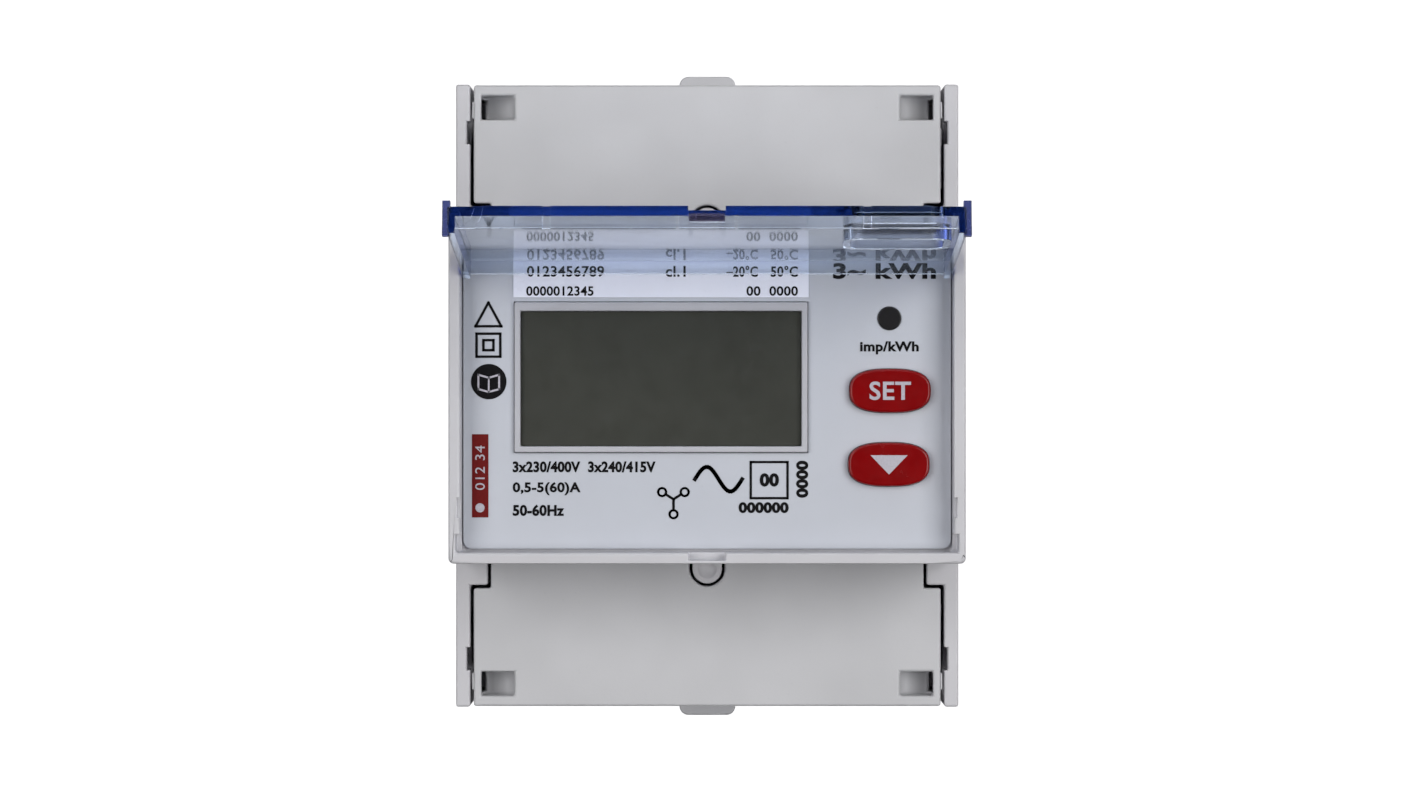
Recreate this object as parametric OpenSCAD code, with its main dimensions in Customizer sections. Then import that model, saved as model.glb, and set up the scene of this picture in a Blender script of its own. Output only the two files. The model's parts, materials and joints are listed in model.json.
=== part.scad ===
// Three-phase energy meter for a 35 mm rail, four modules wide.
// Millimetres. X runs to the right across the front, Y from the front to the wall, Z up.
// The origin is the centre of the seat that rests on the rail.

/* [Body] */
// Width of one rail module
module_width = 18; // [17.5:0.1:18]
// Height of the side walls
body_height = 89.2; // [88:0.1:90]
// Depth from the rail seat to the front of the terminal covers
shoulder_depth = 44; // [42:0.5:46]
// Depth from the rail seat to the front of the raised stage
stage_depth = 63; // [60:0.5:66]
// Height of the raised stage
stage_height = 46.8; // [44:0.1:48]
// How far the feet reach behind the rail seat
foot_depth = 6; // [5:0.1:7]
// Thickness of the side walls
side_wall = 2.04; // [1.5:0.01:3]

/* [Terminals] */
// Distance from one terminal to the next
terminal_pitch = 17; // [16:0.5:18]
// Width of a terminal cage
cage_width = 11.6; // [10:0.1:12]
// Radius of the shaft of a terminal screw
screw_radius = 2.45; // [2:0.05:3]

/* [Lid] */
// Angle of the lid from closed
lid_angle = 97; // [0:0.5:109]
// Thickness of the clear panel
lid_panel = 1.25; // [1:0.05:1.6]
// Radius of the hinge pins
pin_radius = 1; // [0.8:0.05:1.2]

/* [Display and buttons] */
// Width of the visible part of the display
display_width = 39.3; // [36:0.1:42]
// Height of the visible part of the display
display_height = 18.9; // [17:0.1:20]
// Width of a button
button_width = 11.36; // [10:0.02:12]
// Height of a button
button_height = 6.12; // [5.5:0.02:7]

/* [Rail clips] */
// Width of the sliding clip
clip_width = 8.6; // [8:0.1:10]
// Height that the clip's tab reaches
clip_reach = 49; // [47:0.1:50]

/* [Hidden] */
$fn = 48;
body_x = 2 * module_width;
end_z = body_height / 2;
wall_x = body_x - side_wall;
stage_z = stage_height / 2;
bezel_wall = 1.7;
bezel_x = body_x - bezel_wall;
rim_z = stage_z - 1.55;
top_inner_z = stage_z - bezel_wall;
gap = 0.5;
fine_gap = 0.05;
floor_thick = 2.4;
seat_z = 15;
seat_step = 0.4;
rail_edge_z = 17.8;
end_wall = 2;
end_wall_front = 30;
boss_x = 31.45;
boss_z = 27.13;
boss_depth = 8;
notch_low = 36.05;
notch_high = 39.35;

// Covers
cover_plate = 1.8;
cover_inner_z = stage_z + 0.3;
cover_end_z = 44.5;
cover_skirt_front = 30.6;
cover_neck_x = 31;
cover_neck_z = 27.6;
window_in_x = 27.6;
window_out_x = 32.4;
window_low = 39.55;
window_high = 43;
ramp_radius = 4.6;
skirt_end = 32;
tongue_z = 24.8;
tongue_radius = 2.1;

// Rail clips
clip_front = -1.6;
clip_back = -3.6;
clip_play = 0.3;
clip_foot_z = 16;
clip_round = 1.4;
knob_half = 2.6;
knob_back = -5.2;
knob_z = [29, 33];
knob_slot_half = 3.2;
knob_slot_z = [27, 40];
foot_pocket_x = [14, 32];
foot_pocket_z = [22, 40];
foot_pocket_depth = 1.6;

// Terminals
terminal_x = [for (i = [0:3]) (i - 1.5) * terminal_pitch];
phase_x = [terminal_x[0], terminal_x[1], terminal_x[2]];
block_front = 34;
block_in_z = 25.8;
guard_back = 31.1;
block_out_z = 42.3;
block_x = wall_x - 0.3;
pocket_x = cage_width + 0.8;
pocket_back = 12.6;
cage_in_z = 31;
cage_out_z = 41;
cage_mid_z = (cage_in_z + cage_out_z) / 2;
cage_front = 29.5;
cage_back = 13.8;
cage_sheet = 1.2;
cage_nut = 2.8;
bar_front = 16.5;
bar_thick = 1.4;
bar_width = 8;
bar_end_z = 39;
head_radius = 3.6;
head_front = 33.4;
head_back = 30.4;
shaft_end = 26;
access_radius = 4.2;
entry_x = 9.6;
entry_front = 27;
entry_back = 16;
aux_x = [0, terminal_pitch];
aux_width = 7.4;
aux_pitch = 3.7;
aux_front = 41.4;
aux_in_z = 30.5;
aux_out_z = 40;

// Front of the stage
face_front = 59;
face_thick = 0.7;
plate_front = face_front - face_thick - fine_gap;
plate_back = 56.7;
board_front = 52.9;
board_thick = 1.6;
board_back = board_front - board_thick;
face_x = 34.1;
face_low = -21.4;
face_high = 21.5;
display_x = -6.45;
display_z = 2.35;
frame_side = 0.85;
frame_top = 1.27;
frame_front = 59.7;
glass_front = 58.9;
glass_back = 57.8;
lens_x = 25.5;
lens_z = 10.8;
lens_radius = 1.64;
led_radius = 1.3;
prog_at = [25.57, 0.67];
scroll_at = [25.4, -9.63];
button_front = 60.2;
button_gap = 0.08;
button_power = 2.7;
flange_front = 56.65;
flange_back = 55.85;
flange_edge = 1;
switch_size = 6;
switch_front = 54.9;
switch_floor = 53.2;
plunger_radius = 1.7;
plunger_end = 53.9;
post_x = 31;
post_z = 17.6;
post_radius = 2.2;
board_screw_radius = 1.1;
board_screw_hole = 1.3;

// Lid, described closed and then opened about its pins
pivot_y = -61.2;
pivot_z = 18.1;
lid_x = 34;
lid_outer = 63.1;
lid_inner = lid_outer - lid_panel;
lid_tip_z = -21.3;
lid_head_z = 19;
lid_flange = 1;
lid_lip_back = 60.15;
lid_head_back = 60.1;
lid_skirt = 59.55;
ear_in = 33.6;
ear_x = 34.65;
ear_front = 63.9;
ear_back = 59.2;
ear_length = 1.6;
latch_half = 3.7;
groove_x = 21;
latch_nub_half = 2.35;
rim_notch_half = 2.6;
collar_width = 14.3;
collar_height = 9.6;
collar_wall = 1;
collar_shift = 0.1;
collar_back = 59.85;

// Inside
power_front = 29.6;
power_back = 28;
power_x = 33;
power_z = 25.2;
power_post_x = 17;
power_post_z = 22;
core_radius = 7.9;
core_hole = 4.6;
core_height = 9;
core_y = -(bar_front - bar_thick / 2);

// A box from its limits, with the Y limits given as distances in front of the seat
module block(x, front, back, z) {
    translate([x[0], -front, z[0]])
        cube([x[1] - x[0], front - back, z[1] - z[0]]);
}

// A round bar along Y
module bar_y(x, z, front, back, r) {
    translate([x, -front, z])
        rotate([-90, 0, 0])
            cylinder(h = front - back, r = r);
}

// A round bar along X
module bar_x(x, y, z, r) {
    translate([x[0], y, z])
        rotate([0, 90, 0])
            cylinder(h = x[1] - x[0], r = r);
}

// A flat outline drawn in X and Z, given depth along Y
module deep(front, back) {
    translate([0, -back, 0])
        rotate([90, 0, 0])
            linear_extrude(front - back)
                children();
}

module rounded_rect(width, height, r) {
    square([width - 2 * r, height], center = true);
    square([width, height - 2 * r], center = true);
    for (sx = [-1, 1], sz = [-1, 1])
        translate([sx * (width / 2 - r), sz * (height / 2 - r)])
            circle(r);
}

// Squarish oval outline of a button
module button_outline(grow) {
    a = button_width / 2 + grow;
    b = button_height / 2 + grow;
    polygon([for (t = [0:6:359]) [
        a * sign(cos(t)) * pow(abs(cos(t)), 2 / button_power),
        b * sign(sin(t)) * pow(abs(sin(t)), 2 / button_power)]]);
}

// Draws the top version of a part and its mirror image at the bottom
module at_end(side) {
    mirror([0, 0, side < 0 ? 1 : 0])
        children();
}

module both_ends() {
    for (side = [1, -1])
        at_end(side)
            children();
}

module both_sides() {
    for (m = [0, 1])
        mirror([m, 0, 0])
            children();
}

// Base with the side walls and the feet around the rail
module rear_housing() {
    channel_x = clip_width / 2 + clip_play;
    color([0.77, 0.77, 0.79])
    difference() {
        union() {
            block([-wall_x, wall_x], floor_thick, seat_step, [-end_z, end_z]);
            block([-body_x, body_x], floor_thick, 0, [-seat_z, seat_z]);
            both_sides()
                block([wall_x, body_x], shoulder_depth, seat_step, [-end_z, end_z]);
            both_sides()
                block([boss_x, body_x], shoulder_depth, shoulder_depth - boss_depth, [-boss_z, boss_z]);
            both_ends()
                block([-body_x, body_x], floor_thick, -foot_depth, [rail_edge_z, end_z]);
            for (x = phase_x)
                block([x - core_radius + 1, x + core_radius - 1], 11, 0, [-4, 4]);
            for (x = [-power_post_x, power_post_x], z = [-power_post_z, power_post_z])
                bar_y(x, z, power_back - fine_gap, 1, 2.6);
        }
        for (x = phase_x)
            translate([x, core_y, -core_height])
                cylinder(h = 2 * core_height, r = core_radius + fine_gap);
        for (x = [-power_post_x, power_post_x], z = [-power_post_z, power_post_z])
            bar_y(x, z, power_back + 1, 18, board_screw_radius + fine_gap);
        both_ends() {
            block([-channel_x, channel_x], clip_front + clip_play, clip_back - clip_play,
                [rail_edge_z - 1, end_z + 1]);
            block([-knob_slot_half, knob_slot_half], clip_back - 0.2, -foot_depth - 1, knob_slot_z);
            both_sides() {
                block([wall_x - 1, wall_x + 0.5], shoulder_depth + 1, shoulder_depth - 4,
                    [notch_low, notch_high]);
                block(foot_pocket_x, -foot_depth + foot_pocket_depth, -foot_depth - 1, foot_pocket_z);
            }
        }
    }
}

// Raised stage with its bezel, the plate behind the face and the seal lug
module front_housing() {
    color([0.78, 0.78, 0.8])
    difference() {
        union() {
            difference() {
                deep(stage_depth, shoulder_depth + fine_gap)
                    rounded_rect(2 * body_x, stage_height, 0.8);
                block([-bezel_x, bezel_x], stage_depth + 1, plate_front, [-rim_z, top_inner_z]);
                block([-bezel_x, bezel_x], plate_back, shoulder_depth - 1, [-top_inner_z, top_inner_z]);
            }
            both_ends()
                block([-boss_x + 0.3, boss_x - 0.3], shoulder_depth + 1, skirt_end,
                    [top_inner_z, stage_z - 0.1]);
            for (x = [-post_x, post_x], z = [-post_z, post_z])
                bar_y(x, z, plate_back + 1, board_front + fine_gap, post_radius);
            both_ends() {
                bar_y(0, tongue_z, shoulder_depth + 0.6, shoulder_depth - 4, tongue_radius);
                block([-tongue_radius, tongue_radius], shoulder_depth + 0.6, shoulder_depth - 4,
                    [stage_z - 0.5, tongue_z]);
            }
        }
        both_ends()
            translate([0, -shoulder_depth - 1.6, tongue_z])
                sphere(1.7);
        block([-rim_notch_half, rim_notch_half], stage_depth + 1, stage_depth - 2.6,
            [-stage_z + 0.45, -rim_z + 1]);
        both_sides()
            bar_x([bezel_x - 1, bezel_x + 1.2], pivot_y, pivot_z, pin_radius + 0.06);
        both_sides() {
            block([bezel_x - 1, bezel_x + 0.4], stage_depth + 1, stage_depth - 1.2, [-17, -14.2]);
            block([bezel_x - 1, ear_x + 0.35], stage_depth + 1, ear_back - 0.3,
                [-rim_z, lid_tip_z + ear_length + 0.4]);
        }
        translate([display_x, 0, display_z])
            deep(plate_front + 1, plate_back - 1)
                translate([0, (frame_top - frame_side) / 2])
                    square([display_width + 2 * frame_side + 0.3,
                        display_height + frame_side + frame_top + 0.3], center = true);
        bar_y(lens_x, lens_z, plate_front + 1, plate_back - 1, lens_radius + fine_gap);
        for (at = [prog_at, scroll_at])
            translate([at[0], 0, at[1]])
                deep(plate_front + 1, plate_back - 1)
                    button_outline(button_gap);
        for (x = [-post_x, post_x], z = [-post_z, post_z])
            bar_y(x, z, plate_back, board_front - 1, board_screw_radius + fine_gap);
    }
}

// Terminal cover at the top, with a skirt over the end of the body
module cover() {
    edge_x = wall_x - gap;
    color([0.76, 0.76, 0.78])
    difference() {
        union() {
            block([-edge_x, edge_x], shoulder_depth, shoulder_depth - cover_plate,
                [cover_neck_z, cover_end_z]);
            block([-cover_neck_x, cover_neck_x], shoulder_depth, shoulder_depth - cover_plate,
                [cover_inner_z, cover_neck_z]);
            block([-edge_x, edge_x], shoulder_depth, cover_skirt_front,
                [cover_end_z - cover_plate, cover_end_z]);
            both_sides() {
                block([window_in_x - 1, window_out_x - 0.4], shoulder_depth - 1,
                    shoulder_depth - ramp_radius - 0.6, [window_low - 1, cover_end_z - 1]);
                block([edge_x - 1, edge_x + 0.2], shoulder_depth - 0.3, shoulder_depth - cover_plate,
                    [39.75, 42.1]);
                block([edge_x - 1.4, edge_x - 0.2], shoulder_depth - 1, shoulder_depth - 7,
                    [30, window_low - 1.4]);
            }
            for (x = [-terminal_pitch, 0, terminal_pitch])
                block([x - 11.5, x - 10.3], shoulder_depth - 1, block_front + 1.5, [26, 29.5]);
        }
        both_sides()
            intersection() {
                translate([window_in_x + ramp_radius, -shoulder_depth, window_low])
                    cylinder(h = window_high - window_low, r = ramp_radius);
                block([window_in_x, window_out_x], shoulder_depth + 1, shoulder_depth - ramp_radius,
                    [window_low, window_high]);
            }
        bar_y(0, tongue_z, shoulder_depth + 1, shoulder_depth - 3, tongue_radius + 0.4);
        block([-tongue_radius - 0.4, tongue_radius + 0.4], shoulder_depth + 1, shoulder_depth - 3,
            [stage_z, tongue_z]);
    }
}

module top_terminal_cover() {
    cover();
}

module bottom_terminal_cover() {
    difference() {
        at_end(-1)
            cover();
        for (x = aux_x)
            block([x - aux_pitch, x + aux_pitch], aux_front - 1, cover_skirt_front - 1,
                [-cover_end_z - 1, -cover_end_z + cover_plate + 1]);
    }
}

// Clear lid in its closed place
module closed_lid() {
    difference() {
        union() {
            block([-lid_x, lid_x], lid_outer, lid_inner, [lid_tip_z, lid_head_z]);
            block([-lid_x, lid_x], lid_outer, lid_lip_back, [lid_tip_z, lid_tip_z + lid_flange]);
            block([-lid_x, lid_x], lid_outer, lid_head_back, [lid_head_z - lid_flange, lid_head_z]);
            both_sides() {
                block([lid_x - lid_flange, lid_x], lid_outer, lid_skirt, [lid_tip_z, lid_head_z]);
                block([ear_in, ear_x], ear_front, ear_back, [lid_tip_z, lid_tip_z + ear_length]);
                bar_x([lid_x - 0.2, bezel_x + 1], pivot_y, pivot_z, pin_radius);
            }
            block([-latch_nub_half, latch_nub_half], lid_inner + 0.1, lid_inner - 0.9,
                [lid_tip_z - 0.9, lid_tip_z + 0.2]);
            translate([scroll_at[0] - collar_shift, 0, scroll_at[1]])
                deep(lid_outer, collar_back)
                    rounded_rect(collar_width, collar_height, 2.4);
        }
        both_sides()
            block([latch_half, latch_half + 0.35], lid_inner - 0.02, lid_inner - 3,
                [lid_tip_z - 1, lid_tip_z + 2]);
        block([-latch_nub_half - 0.1, latch_nub_half + 0.1], lid_outer + 1, lid_outer - 0.6,
            [lid_tip_z - 2, lid_tip_z + 4.5]);
        both_sides() {
            block([groove_x - 0.5, groove_x + 0.5], lid_outer + 1, lid_inner - 3,
                [lid_tip_z - 1, lid_tip_z + 0.5]);
            for (step = [[4.1, 0.3], [2.9, 0.6]])
                translate([lid_x - 0.6, -lid_outer, lid_tip_z - 1])
                    cylinder(h = 1 + step[1], r = step[0]);
        }
        translate([scroll_at[0] - collar_shift, 0, scroll_at[1]])
            deep(lid_outer + 1, collar_back - 1)
                rounded_rect(collar_width - 2 * collar_wall, collar_height - 2 * collar_wall, 1.6);
    }
}

module lid() {
    color([0.45, 0.55, 0.85, 0.4])
    translate([0, pivot_y, pivot_z])
        rotate([-lid_angle, 0, 0])
            translate([0, -pivot_y, -pivot_z])
                closed_lid();
}

module faceplate() {
    color([0.76, 0.77, 0.81])
    difference() {
        translate([0, 0, (face_low + face_high) / 2])
            deep(face_front, face_front - face_thick)
                rounded_rect(2 * face_x, face_high - face_low, 1.2);
        translate([display_x, 0, display_z + (frame_top - frame_side) / 2])
            deep(face_front + 1, face_front - face_thick - 1)
                square([display_width + 2 * frame_side + 0.2,
                    display_height + frame_side + frame_top + 0.2], center = true);
        bar_y(lens_x, lens_z, face_front + 1, plate_back, lens_radius + fine_gap);
        for (at = [prog_at, scroll_at])
            translate([at[0], 0, at[1]])
                deep(face_front + 1, face_front - face_thick - 1)
                    button_outline(button_gap);
    }
}

module data_label() {
    color([0.85, 0.86, 0.9])
    block([-27.1, 14.2], face_front + 0.17, face_front + 0.02, [13.75, 20.9]);
}

module lcd_frame() {
    color([0.65, 0.65, 0.67])
    translate([display_x, 0, display_z])
        deep(frame_front, plate_back)
            difference() {
                translate([0, (frame_top - frame_side) / 2])
                    square([display_width + 2 * frame_side, display_height + frame_side + frame_top],
                        center = true);
                square([display_width, display_height], center = true);
            }
}

module lcd_glass() {
    color([0.25, 0.26, 0.24])
    translate([display_x, 0, display_z])
        deep(glass_front, glass_back)
            square([display_width - 0.1, display_height - 0.1], center = true);
}

module lcd_backlight() {
    color([0.92, 0.92, 0.88])
    translate([display_x, 0, display_z])
        deep(glass_back - fine_gap, board_front + fine_gap)
            square([display_width - 3, display_height - 5.6], center = true);
}

module zebra_strips() {
    color([0.15, 0.15, 0.16])
    for (s = [-1, 1])
        translate([display_x, 0, display_z + s * (display_height / 2 - 1.3)])
            deep(glass_back - fine_gap, board_front + fine_gap)
                square([display_width - 2, 1.8], center = true);
}

module pulse_lens() {
    color([0.16, 0.16, 0.16]) {
        bar_y(lens_x, lens_z, face_front + 0.3, plate_back - 0.9, lens_radius);
        bar_y(lens_x, lens_z, plate_back - fine_gap, plate_back - 0.9, lens_radius + 0.9);
    }
}

module pulse_led() {
    color([0.85, 0.3, 0.25]) {
        bar_y(lens_x, lens_z, board_front + fine_gap + led_radius, board_front + fine_gap, led_radius);
        bar_y(lens_x, lens_z, board_front + 0.6, board_front + fine_gap, led_radius + 0.3);
        translate([lens_x, -board_front - fine_gap - led_radius, lens_z])
            sphere(led_radius);
    }
}

module button_cap(at) {
    color([0.65, 0.05, 0.06])
    translate([at[0], 0, at[1]]) {
        deep(button_front, flange_back)
            button_outline(0);
        deep(flange_front, flange_back)
            button_outline(flange_edge);
    }
}

module prog_button() {
    button_cap(prog_at);
}

module scroll_button() {
    button_cap(scroll_at);
}

module plunger(at) {
    color([0.15, 0.15, 0.15])
    bar_y(at[0], at[1], flange_back - 0.02, plunger_end, plunger_radius);
}

module prog_plunger() {
    plunger(prog_at);
}

module scroll_plunger() {
    plunger(scroll_at);
}

module tact_switches() {
    color([0.6, 0.6, 0.62])
    for (at = [prog_at, scroll_at])
        difference() {
            translate([at[0], 0, at[1]])
                deep(switch_front, board_front + fine_gap)
                    square(switch_size, center = true);
            bar_y(at[0], at[1], switch_front + 1, switch_floor, plunger_radius + 0.07);
        }
}

module display_board() {
    color([0.1, 0.35, 0.2])
    difference() {
        block([-33.6, 33.6], board_front, board_back, [-20.6, 20.6]);
        for (x = [-post_x, post_x], z = [-post_z, post_z])
            bar_y(x, z, board_front + 1, board_back - 1, board_screw_hole);
    }
}

// Pan-head screw driven from behind
module board_screw(x, z, seat, length) {
    bar_y(x, z, seat + length, seat - 0.5, board_screw_radius);
    difference() {
        bar_y(x, z, seat - fine_gap, seat - 1.5, 2);
        block([x - 0.25, x + 0.25], seat - 0.9, seat - 3, [z - 1.3, z + 1.3]);
        block([x - 1.3, x + 1.3], seat - 0.9, seat - 3, [z - 0.25, z + 0.25]);
    }
}

module display_board_screws() {
    color([0.7, 0.7, 0.72])
    for (x = [-post_x, post_x], z = [-post_z, post_z])
        board_screw(x, z, board_back, 4);
}

module power_board() {
    color([0.12, 0.38, 0.22])
    difference() {
        block([-power_x, power_x], power_front, power_back, [-power_z, power_z]);
        for (x = [-power_post_x, power_post_x], z = [-power_post_z, power_post_z])
            bar_y(x, z, power_front + 1, power_back - 1, board_screw_hole);
    }
}

module power_board_screws() {
    color([0.7, 0.7, 0.72])
    mirror([0, 1, 0])
        for (x = [-power_post_x, power_post_x], z = [-power_post_z, power_post_z])
            board_screw(x, z, -power_front, 6);
}

module board_link() {
    color([0.12, 0.12, 0.13])
    block([-14, 6], 38, power_front + fine_gap, [-20.5, -15.5]);
    color([0.12, 0.12, 0.13])
    block([-14, 6], board_back - fine_gap, 45, [-20.5, -15.5]);
    color([0.75, 0.65, 0.3])
    for (i = [0:6], z = [-19.2, -16.8])
        block([-12.5 + i * 2.54, -11.86 + i * 2.54], 45.5, 37.5, [z - 0.32, z + 0.32]);
}

module supply_transformer() {
    color([0.2, 0.2, 0.22])
    block([11, 29], 42.5, 31.6, [-13, 3]);
    color([0.85, 0.75, 0.3])
    block([12.5, 27.5], 41.5, 32.6, [-14.2, 4.2]);
    color([0.15, 0.15, 0.16])
    block([11.5, 28.5], 32, power_front + fine_gap, [-14.5, 4.5]);
}

module film_capacitors() {
    color([0.75, 0.62, 0.2])
    for (x = [-23.5, -13.5, -3.5])
        block([x - 3.2, x + 3.2], 41, power_front + fine_gap, [1.5, 19]);
}

module electrolytic_capacitors() {
    color([0.1, 0.12, 0.25])
    for (x = [-24, -14])
        difference() {
            bar_y(x, -7, 44, power_front + fine_gap, 4);
            block([x - 2.6, x + 2.6], 45, 43.7, [-7.2, -6.8]);
            block([x - 0.2, x + 0.2], 45, 43.7, [-9.6, -4.4]);
        }
}

module varistors() {
    color([0.1, 0.3, 0.6])
    for (x = [12, 19, 26])
        translate([x, -35, 13])
            rotate([0, 90, 0])
                cylinder(h = 3, r = 4.2, center = true);
    color([0.7, 0.7, 0.7])
    for (x = [12, 19, 26], z = [11, 15])
        bar_y(x, z, 34, power_front + fine_gap, 0.4);
}

module processor_chips() {
    color([0.12, 0.12, 0.13]) {
        block([-5, 5], board_back - fine_gap, board_back - 1.5, [-2, 8]);
        block([10, 17], board_back - fine_gap, board_back - 1.5, [0, 5]);
        block([-16, -11], board_back - fine_gap, board_back - 1.3, [-11, -7]);
    }
}

module backup_battery() {
    color([0.75, 0.75, 0.77])
    bar_y(-22, 6, board_back - 0.8, board_back - 4, 8);
    color([0.1, 0.1, 0.1])
    block([-31, -13], board_back - fine_gap, board_back - 1, [2, 10]);
}

module current_transformers() {
    color([0.16, 0.2, 0.42])
    for (x = phase_x)
        translate([x, core_y, -core_height / 2])
            rotate_extrude()
                translate([core_hole, 0])
                    square([core_radius - core_hole - 0.05, core_height]);
}

module busbar(x) {
    block([x - bar_width / 2, x + bar_width / 2], bar_front, bar_front - bar_thick,
        [-bar_end_z, bar_end_z]);
}

module phase_busbars() {
    color([0.8, 0.5, 0.3])
    for (x = phase_x)
        busbar(x);
}

module neutral_busbar() {
    color([0.75, 0.75, 0.72])
    busbar(terminal_x[3]);
}

// Moulded insulator with a bay for each of the four cages
module terminal_block() {
    color([0.7, 0.7, 0.72])
    difference() {
        block([-block_x, block_x], guard_back - fine_gap, floor_thick + 0.2, [block_in_z, block_out_z]);
        for (x = terminal_x) {
            block([x - pocket_x / 2, x + pocket_x / 2], guard_back + 1, pocket_back,
                [cage_in_z - 0.6, block_out_z + 1]);
            block([x - bar_width / 2 - 0.2, x + bar_width / 2 + 0.2], bar_front + 0.2,
                bar_front - bar_thick - 0.2, [block_in_z - 1, cage_in_z]);
        }
    }
}

// Plate over the cages, with a hole for the screwdriver at each screw
module screw_guard() {
    color([0.7, 0.7, 0.72])
    difference() {
        block([-block_x, block_x], block_front, guard_back, [block_in_z, block_out_z]);
        for (x = terminal_x)
            bar_y(x, cage_mid_z, block_front + 1, guard_back - 1, access_radius);
        for (x = [-1, 0, 1] * terminal_pitch)
            block([x - 0.6, x + 0.6], block_front + 1, block_front - 1, [block_in_z + 1, block_out_z + 1]);
    }
}

module top_screw_guard() {
    screw_guard();
}

module bottom_screw_guard() {
    at_end(-1)
        screw_guard();
}

// End wall with a square entry for each conductor
module entry_frame() {
    color([0.77, 0.77, 0.79])
    difference() {
        block([-wall_x + 0.02, wall_x - 0.02], end_wall_front, floor_thick + fine_gap,
            [end_z - end_wall, end_z]);
        for (x = terminal_x)
            block([x - entry_x / 2, x + entry_x / 2], entry_front, entry_back, [cage_out_z, end_z + 1]);
        for (x = [-1, 0, 1] * terminal_pitch)
            block([x - 0.5, x + 0.5], end_wall_front + 1, floor_thick + 3, [end_z - 0.5, end_z + 1]);
    }
}

module top_entry_frame() {
    entry_frame();
}

module bottom_entry_frame() {
    at_end(-1)
        entry_frame();
}

module top_terminal_block() {
    terminal_block();
}

module bottom_terminal_block() {
    at_end(-1)
        terminal_block();
}

// Four clamp cages, each open towards the wire entry
module cages() {
    color([0.78, 0.74, 0.55])
    for (x = terminal_x)
        difference() {
            block([x - cage_width / 2, x + cage_width / 2], cage_front, cage_back, [cage_in_z, cage_out_z]);
            block([x - cage_width / 2 + cage_sheet, x + cage_width / 2 - cage_sheet],
                cage_front - cage_nut, cage_back + cage_sheet, [cage_in_z - 1, cage_out_z + 1]);
            bar_y(x, cage_mid_z, cage_front + 1, cage_front - cage_nut - 1, screw_radius + fine_gap);
        }
}

module top_terminal_cages() {
    cages();
}

module bottom_terminal_cages() {
    at_end(-1)
        cages();
}

// Four clamp screws with a cross and a slot
module terminal_screws() {
    color([0.72, 0.72, 0.74])
    for (x = terminal_x) {
        bar_y(x, cage_mid_z, head_back + 0.5, shaft_end, screw_radius);
        difference() {
            bar_y(x, cage_mid_z, head_front, head_back, head_radius);
            block([x - 0.55, x + 0.55], head_front + 1, head_front - 1.6, [cage_mid_z - 4, cage_mid_z + 4]);
            block([x - 2, x + 2], head_front + 1, head_front - 1.6, [cage_mid_z - 0.45, cage_mid_z + 0.45]);
        }
    }
}

module top_terminal_screws() {
    terminal_screws();
}

module bottom_terminal_screws() {
    at_end(-1)
        terminal_screws();
}

// Two small two-way blocks for the pulse output, in front of the bottom row
module aux_terminal_blocks() {
    color([0.2, 0.45, 0.3])
    for (x = aux_x)
        difference() {
            block([x - aux_width / 2, x + aux_width / 2], aux_front, block_front + fine_gap,
                [-aux_out_z, -aux_in_z]);
            for (s = [-1, 1]) {
                bar_y(x + s * aux_pitch / 2, -36.5, aux_front + 1, 36.2, 1.45);
                block([x + s * aux_pitch / 2 - 1.1, x + s * aux_pitch / 2 + 1.1], 37.4, 35.2,
                    [-aux_out_z - 1, -34]);
            }
        }
}

module aux_terminal_screws() {
    color([0.75, 0.75, 0.77])
    for (x = aux_x, s = [-1, 1])
        difference() {
            bar_y(x + s * aux_pitch / 2, -36.5, 40.4, 37.8, 1.35);
            block([x + s * aux_pitch / 2 - 1.5, x + s * aux_pitch / 2 + 1.5], 41.4, 39.8, [-36.7, -36.3]);
        }
}

// Sliding clip whose hook reaches behind the rail and whose tab shows past the end
module rail_clip() {
    color([0.78, 0.78, 0.8]) {
        deep(clip_front, clip_back)
            translate([0, (clip_foot_z + clip_reach) / 2])
                rounded_rect(clip_width, clip_reach - clip_foot_z, clip_round);
        block([-knob_half, knob_half], clip_back + 0.1, knob_back, knob_z);
    }
}

module din_clip_top() {
    rail_clip();
}

module din_clip_bottom() {
    at_end(-1)
        rail_clip();
}

rear_housing();
front_housing();
top_terminal_cover();
bottom_terminal_cover();
lid();
faceplate();
data_label();
lcd_frame();
lcd_glass();
lcd_backlight();
zebra_strips();
pulse_lens();
pulse_led();
prog_button();
scroll_button();
prog_plunger();
scroll_plunger();
tact_switches();
display_board();
display_board_screws();
power_board();
power_board_screws();
board_link();
supply_transformer();
film_capacitors();
electrolytic_capacitors();
varistors();
processor_chips();
backup_battery();
current_transformers();
phase_busbars();
neutral_busbar();
top_terminal_block();
bottom_terminal_block();
top_screw_guard();
bottom_screw_guard();
top_entry_frame();
bottom_entry_frame();
top_terminal_cages();
bottom_terminal_cages();
top_terminal_screws();
bottom_terminal_screws();
aux_terminal_blocks();
aux_terminal_screws();
din_clip_top();
din_clip_bottom();
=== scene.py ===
"""Studio scene for the rail-mounted electricity meter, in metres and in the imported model's frame."""

import json
import math

import bmesh
import bpy
from mathutils import Matrix, Vector


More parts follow.
